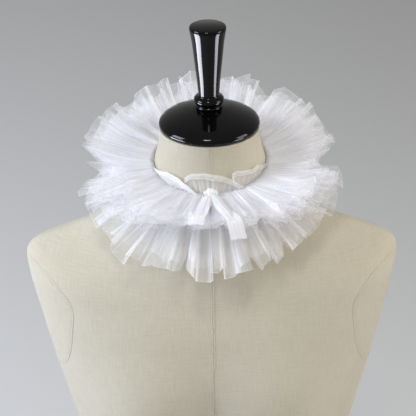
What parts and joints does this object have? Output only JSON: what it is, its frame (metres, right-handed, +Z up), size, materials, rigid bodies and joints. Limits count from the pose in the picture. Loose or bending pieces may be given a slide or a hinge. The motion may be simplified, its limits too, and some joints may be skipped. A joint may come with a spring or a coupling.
{
  "type": "ruff collar on dress form",
  "caption": "Ruff collar of gathered white tulle, tied round the neck of a limbless linen dress form with a black turned cap, handle and base board.",
  "frame": {"origin": "middle of the base board's underside", "axes": "+Z up along the neck's axis, the front of the form faces -Y, +X is to the right of someone who looks at the front"},
  "size_m": [0.385, 0.2621, 0.8023],
  "materials": {
    "tulle": "crisp sheer net",
    "linen": "plain linen weave",
    "lacquer": "black gloss lacquer"
  },
  "bodies": {
    "root": {"neck_band": "tulle", "strip_1": "tulle", "strip_2": "tulle", "strip_3": "tulle", "tie_knot": "tulle", "tie_tail_left": "tulle", "tie_tail_right": "tulle", "form_torso": "linen", "neck_cap": "lacquer", "finial": "lacquer", "base_board": "lacquer"}
  },
  "joints": []
}
